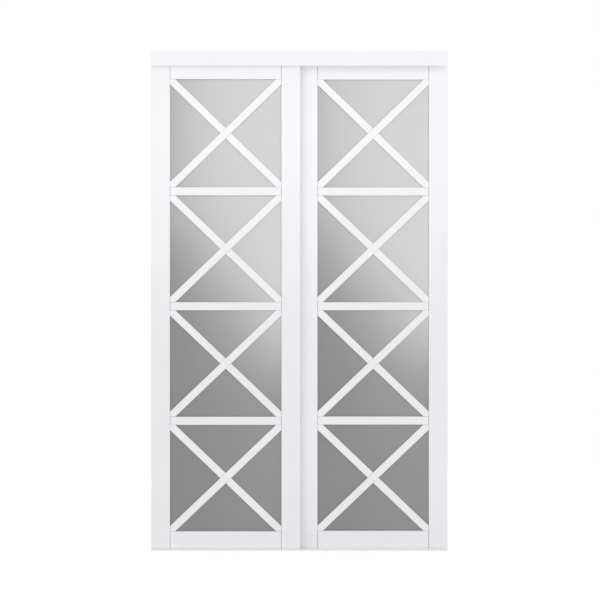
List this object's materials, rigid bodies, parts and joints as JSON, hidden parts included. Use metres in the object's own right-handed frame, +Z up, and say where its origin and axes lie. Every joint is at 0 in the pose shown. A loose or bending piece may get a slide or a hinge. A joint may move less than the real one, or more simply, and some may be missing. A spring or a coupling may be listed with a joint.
{
  "type": "sliding closet door",
  "caption": "Bypass sliding closet doors: white framed panels with satin glass behind crossed strips, rolling between a fascia top track and a low floor track.",
  "frame": {"origin": "on the floor, at the middle of the set's width and depth", "axes": "+X to the right as seen from the room, +Y into the closet, +Z up"},
  "size_m": [1.213, 0.084, 2.042],
  "materials": {
    "frame_foil": "white matt foil on fibreboard",
    "strip_foil": "white matt foil on fibreboard",
    "satin_glass": "satin-etched grey glass",
    "white_aluminium": "white powder coat on extruded aluminium",
    "zinc_steel": "zinc plated pressed steel",
    "bright_steel": "bright steel",
    "grey_nylon": "moulded nylon",
    "white_nylon": "moulded nylon",
    "beech": "plain beech"
  },
  "bodies": {
    "frame": {"top_track": "white_aluminium", "fascia": "white_aluminium", "floor_track": "white_aluminium", "track_stops": "grey_nylon"},
    "front_door": {"front_stile_left": "frame_foil", "front_stile_right": "frame_foil", "front_top_rail": "frame_foil", "front_bottom_rail": "frame_foil", "front_mid_rails": "frame_foil", "front_glass_panes": "satin_glass", "front_x_long_strips_front": "strip_foil", "front_x_short_strips_front": "strip_foil", "front_x_long_strips_back": "strip_foil", "front_x_short_strips_back": "strip_foil", "front_dowels": "beech", "front_roller_housings": "zinc_steel", "front_roller_pivot_pins": "bright_steel", "front_roller_screws": "bright_steel", "front_guide_sleeves": "white_nylon", "front_guide_screws": "bright_steel", "front_guide_spring_left": "bright_steel", "front_guide_spring_right": "bright_steel"},
    "front_lever_left": {"front_roller_lever_left": "zinc_steel", "front_roller_axle_left": "bright_steel"},
    "front_wheel_left": {"front_roller_wheel_left": "grey_nylon"},
    "front_adjuster_left": {"front_adjusting_screw_left": "bright_steel"},
    "front_plunger_left": {"front_guide_plunger_left": "white_nylon"},
    "front_lever_right": {"front_roller_lever_right": "zinc_steel", "front_roller_axle_right": "bright_steel"},
    "front_wheel_right": {"front_roller_wheel_right": "grey_nylon"},
    "front_adjuster_right": {"front_adjusting_screw_right": "bright_steel"},
    "front_plunger_right": {"front_guide_plunger_right": "white_nylon"},
    "rear_door": {"rear_stile_left": "frame_foil", "rear_stile_right": "frame_foil", "rear_top_rail": "frame_foil", "rear_bottom_rail": "frame_foil", "rear_mid_rails": "frame_foil", "rear_glass_panes": "satin_glass", "rear_x_long_strips_front": "strip_foil", "rear_x_short_strips_front": "strip_foil", "rear_x_long_strips_back": "strip_foil", "rear_x_short_strips_back": "strip_foil", "rear_dowels": "beech", "rear_roller_housings": "zinc_steel", "rear_roller_pivot_pins": "bright_steel", "rear_roller_screws": "bright_steel", "rear_guide_sleeves": "white_nylon", "rear_guide_screws": "bright_steel", "rear_guide_spring_left": "bright_steel", "rear_guide_spring_right": "bright_steel"},
    "rear_lever_left": {"rear_roller_lever_left": "zinc_steel", "rear_roller_axle_left": "bright_steel"},
    "rear_wheel_left": {"rear_roller_wheel_left": "grey_nylon"},
    "rear_adjuster_left": {"rear_adjusting_screw_left": "bright_steel"},
    "rear_plunger_left": {"rear_guide_plunger_left": "white_nylon"},
    "rear_lever_right": {"rear_roller_lever_right": "zinc_steel", "rear_roller_axle_right": "bright_steel"},
    "rear_wheel_right": {"rear_roller_wheel_right": "grey_nylon"},
    "rear_adjuster_right": {"rear_adjusting_screw_right": "bright_steel"},
    "rear_plunger_right": {"rear_guide_plunger_right": "white_nylon"}
  },
  "joints": [
    {"name": "front_door_slide", "type": "slide", "parent": "frame", "child": "front_door", "axis": [1, 0, 0], "range_m": [0, 0.603]},
    {"name": "front_lever_left_tilt", "type": "hinge", "parent": "front_door", "child": "front_lever_left", "pos_m": [-0.5865, -0.0135, 0.0255], "axis": [0, -1, 0], "range_deg": [0, 12]},
    {"name": "front_wheel_left_spin", "type": "hinge", "parent": "front_lever_left", "child": "front_wheel_left", "pos_m": [-0.5625, -0.0135, 0.0192], "axis": [0, 1, 0], "continuous": true},
    {"name": "front_adjuster_left_travel", "type": "slide", "parent": "front_door", "child": "front_adjuster_left", "axis": [-1, 0, 0], "range_m": [0, 0.00304]},
    {"name": "front_plunger_left_press", "type": "slide", "parent": "front_door", "child": "front_plunger_left", "axis": [0, 0, -1], "range_m": [0, 0.018], "stiffness_N_per_m": 300, "springref_m": -0.01, "deforming": ["front_guide_spring_left"]},
    {"name": "front_lever_right_tilt", "type": "hinge", "parent": "front_door", "child": "front_lever_right", "pos_m": [-0.0165, -0.0135, 0.0255], "axis": [0, 1, 0], "range_deg": [0, 12]},
    {"name": "front_wheel_right_spin", "type": "hinge", "parent": "front_lever_right", "child": "front_wheel_right", "pos_m": [-0.0405, -0.0135, 0.0192], "axis": [0, 1, 0], "continuous": true},
    {"name": "front_adjuster_right_travel", "type": "slide", "parent": "front_door", "child": "front_adjuster_right", "axis": [1, 0, 0], "range_m": [0, 0.00304]},
    {"name": "front_plunger_right_press", "type": "slide", "parent": "front_door", "child": "front_plunger_right", "axis": [0, 0, -1], "range_m": [0, 0.018], "stiffness_N_per_m": 300, "springref_m": -0.01, "deforming": ["front_guide_spring_right"]},
    {"name": "rear_door_slide", "type": "slide", "parent": "frame", "child": "rear_door", "axis": [-1, 0, 0], "range_m": [0, 0.603]},
    {"name": "rear_lever_left_tilt", "type": "hinge", "parent": "rear_door", "child": "rear_lever_left", "pos_m": [0.0165, 0.0215, 0.0255], "axis": [0, -1, 0], "range_deg": [0, 12]},
    {"name": "rear_wheel_left_spin", "type": "hinge", "parent": "rear_lever_left", "child": "rear_wheel_left", "pos_m": [0.0405, 0.0215, 0.0192], "axis": [0, -1, 0], "continuous": true},
    {"name": "rear_adjuster_left_travel", "type": "slide", "parent": "rear_door", "child": "rear_adjuster_left", "axis": [-1, 0, 0], "range_m": [0, 0.00304]},
    {"name": "rear_plunger_left_press", "type": "slide", "parent": "rear_door", "child": "rear_plunger_left", "axis": [0, 0, -1], "range_m": [0, 0.018], "stiffness_N_per_m": 300, "springref_m": -0.01, "deforming": ["rear_guide_spring_left"]},
    {"name": "rear_lever_right_tilt", "type": "hinge", "parent": "rear_door", "child": "rear_lever_right", "pos_m": [0.5865, 0.0215, 0.0255], "axis": [0, 1, 0], "range_deg": [0, 12]},
    {"name": "rear_wheel_right_spin", "type": "hinge", "parent": "rear_lever_right", "child": "rear_wheel_right", "pos_m": [0.5625, 0.0215, 0.0192], "axis": [0, -1, 0], "continuous": true},
    {"name": "rear_adjuster_right_travel", "type": "slide", "parent": "rear_door", "child": "rear_adjuster_right", "axis": [1, 0, 0], "range_m": [0, 0.00304]},
    {"name": "rear_plunger_right_press", "type": "slide", "parent": "rear_door", "child": "rear_plunger_right", "axis": [0, 0, -1], "range_m": [0, 0.018], "stiffness_N_per_m": 300, "springref_m": -0.01, "deforming": ["rear_guide_spring_right"]}
  ],
  "couplings": [
    {"joint": "front_wheel_left_spin", "follows": "front_door_slide", "rad_per_m": 98.039},
    {"joint": "front_adjuster_left_travel", "follows": "front_lever_left_tilt", "m_per_rad": 0.0145},
    {"joint": "front_wheel_right_spin", "follows": "front_door_slide", "rad_per_m": 98.039},
    {"joint": "front_adjuster_right_travel", "follows": "front_lever_right_tilt", "m_per_rad": 0.0145},
    {"joint": "rear_wheel_left_spin", "follows": "rear_door_slide", "rad_per_m": 98.039},
    {"joint": "rear_adjuster_left_travel", "follows": "rear_lever_left_tilt", "m_per_rad": 0.0145},
    {"joint": "rear_wheel_right_spin", "follows": "rear_door_slide", "rad_per_m": 98.039},
    {"joint": "rear_adjuster_right_travel", "follows": "rear_lever_right_tilt", "m_per_rad": 0.0145}
  ]
}
